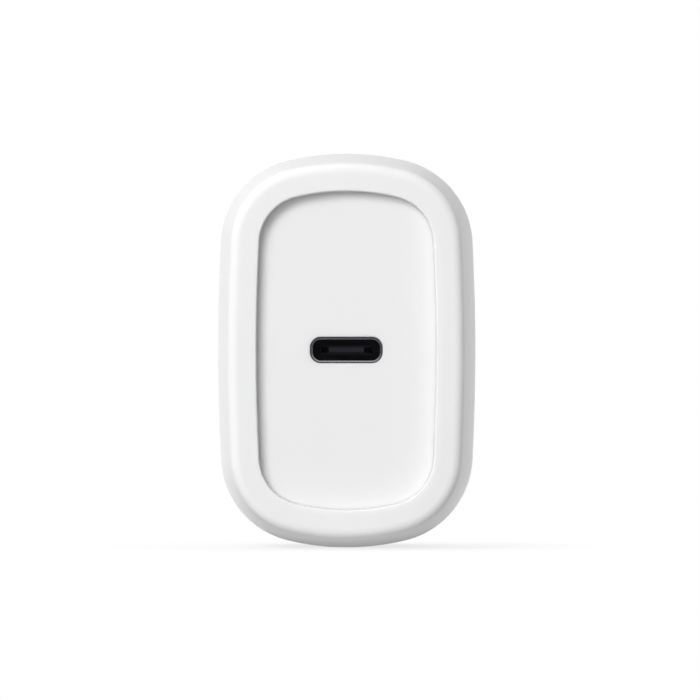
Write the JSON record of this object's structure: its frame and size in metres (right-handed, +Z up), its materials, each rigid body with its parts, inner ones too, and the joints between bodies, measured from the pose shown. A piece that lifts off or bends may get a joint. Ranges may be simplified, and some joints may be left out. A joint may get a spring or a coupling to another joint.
{
  "type": "plug-in power adapter",
  "caption": "Rounded upright plug-in power adapter with a recessed front panel, a USB-C socket and a folding blade plug.",
  "frame": {"origin": "on the table under the middle of the upright case, on the small flat of its arched bottom", "axes": "+Z up along the case's height, +Y out of the back face the way the unfolded blades point, +X across; the USB-C socket faces -Y"},
  "size_m": [0.033, 0.046, 0.0503],
  "materials": {
    "case_white": "satin moulded polycarbonate, fine spark texture",
    "panel_white": "satin moulded polycarbonate",
    "plug_white": "satin glass-filled nylon",
    "blade_nickel": "nickel-plated, bright",
    "port_steel": "dark polished stainless steel",
    "port_black": "black moulded polymer",
    "contact_gold": "gold flash",
    "spring_bronze": "phosphor bronze",
    "screw_steel": "zinc plated",
    "retainer_black": "black glass-filled nylon",
    "board_green": "solder mask",
    "ferrite": "sintered ferrite",
    "bobbin_black": "phenolic moulding",
    "copper": "enamelled copper wire",
    "tape_yellow": "polyester tape",
    "can_aluminium": "drawn aluminium",
    "sleeve_dark": "shrunk sleeve",
    "film_capacitor_grey": "moulded box",
    "fuse_brown": "moulded box",
    "disc_green": "dipped coating",
    "disc_blue": "dipped coating",
    "chip_black": "moulded package",
    "chip_part_tan": "chip ceramic",
    "pad_grey": "silicone gap pad",
    "spreader_aluminium": "rolled sheet",
    "film_clear": "polyester film",
    "wire_black": "wire insulation",
    "wire_white": "wire insulation",
    "pin_tinned": "tinned wire"
  },
  "bodies": {
    "case": {"front_shell": "case_white", "back_shell": "case_white", "front_panel": "panel_white", "plug_retainer": "retainer_black", "retainer_screws": "screw_steel", "contact_spring_left": "spring_bronze", "contact_spring_right": "spring_bronze", "detent_spring": "spring_bronze", "ac_lead_left": "wire_black", "ac_lead_right": "wire_white", "port_shell": "port_steel", "port_insulator": "port_black", "port_mid_plate": "port_steel", "port_contacts": "contact_gold", "port_board": "board_green", "port_controller": "chip_black", "port_switch": "chip_black", "transformer_core_lower": "ferrite", "transformer_core_upper": "ferrite", "transformer_bobbin": "bobbin_black", "primary_winding": "copper", "secondary_winding": "copper", "transformer_tape": "tape_yellow", "transformer_pins": "pin_tinned", "bulk_capacitor_cans": "can_aluminium", "bulk_capacitor_sleeves": "sleeve_dark", "output_capacitors": "can_aluminium", "choke_core": "ferrite", "choke_winding_upper": "copper", "choke_winding_lower": "copper", "choke_base": "bobbin_black", "choke_leads": "pin_tinned", "x_capacitor": "film_capacitor_grey", "fuse": "fuse_brown", "inrush_thermistor": "disc_green", "y_capacitor": "disc_blue", "bridge_rectifier": "chip_black", "power_switch": "chip_black", "control_chip": "chip_black", "sync_rectifier": "chip_black", "optocoupler": "chip_black", "chip_parts": "chip_part_tan", "thermal_pad": "pad_grey", "heat_spreader": "spreader_aluminium", "insulating_film": "film_clear", "main_board": "board_green"},
    "plug": {"plug_carrier": "plug_white", "blade_left": "blade_nickel", "blade_right": "blade_nickel"}
  },
  "joints": [
    {"name": "plug_fold", "type": "hinge", "parent": "case", "child": "plug", "pos_m": [0, 0.01945, 0.0341], "axis": [1, 0, 0], "range_deg": [0, 90], "deforming": ["detent_spring"]}
  ]
}
